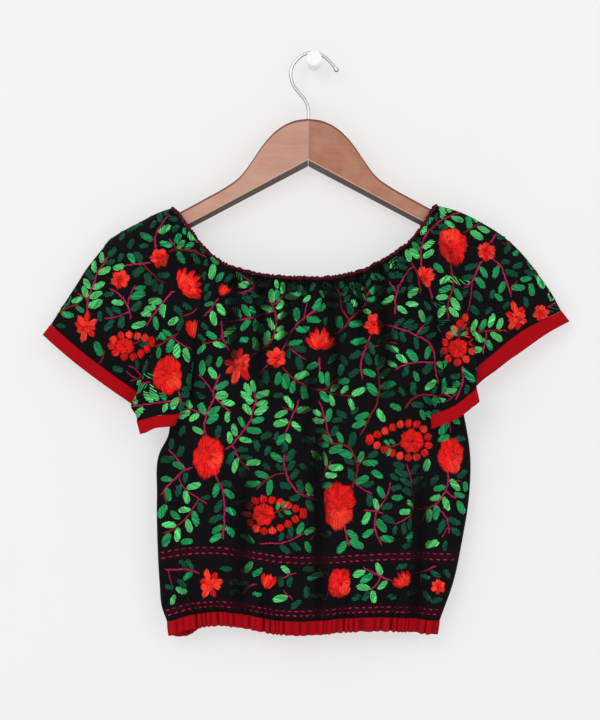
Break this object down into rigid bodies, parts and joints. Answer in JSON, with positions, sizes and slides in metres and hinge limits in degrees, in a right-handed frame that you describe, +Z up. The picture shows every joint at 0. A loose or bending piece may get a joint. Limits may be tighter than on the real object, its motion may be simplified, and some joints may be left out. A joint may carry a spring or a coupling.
{
  "type": "crop top on a hanger and wall peg",
  "caption": "Embroidered cropped top with gathered neck, flutter sleeves and elastic hem, hanging flat on a wooden hanger from a small wall peg.",
  "frame": {"origin": "middle of the wall peg's flat back face, which lies on the wall", "axes": "+Z up, +X to the right as seen from the front, the top's front faces -Y and the wall is the plane Y = 0"},
  "size_m": [0.5781, 0.0539, 0.6431],
  "materials": {
    "cloth": "black plain-weave cotton with satin-stitch embroidery",
    "casing": "dark red gathered casing",
    "band": "red plain-weave cotton",
    "hanger_wood": "satin varnish, reddish brown",
    "hook_steel": "plated steel wire",
    "peg": "white, smooth"
  },
  "bodies": {
    "root": {"front": "cloth", "back": "cloth", "sleeve_left": "cloth", "sleeve_right": "cloth", "neck_casing": "casing", "cuff_left": "band", "cuff_right": "band", "hem_band": "band", "hanger_arm_left": "hanger_wood", "hanger_arm_right": "hanger_wood", "hook": "hook_steel", "wall_peg": "peg"}
  },
  "joints": []
}
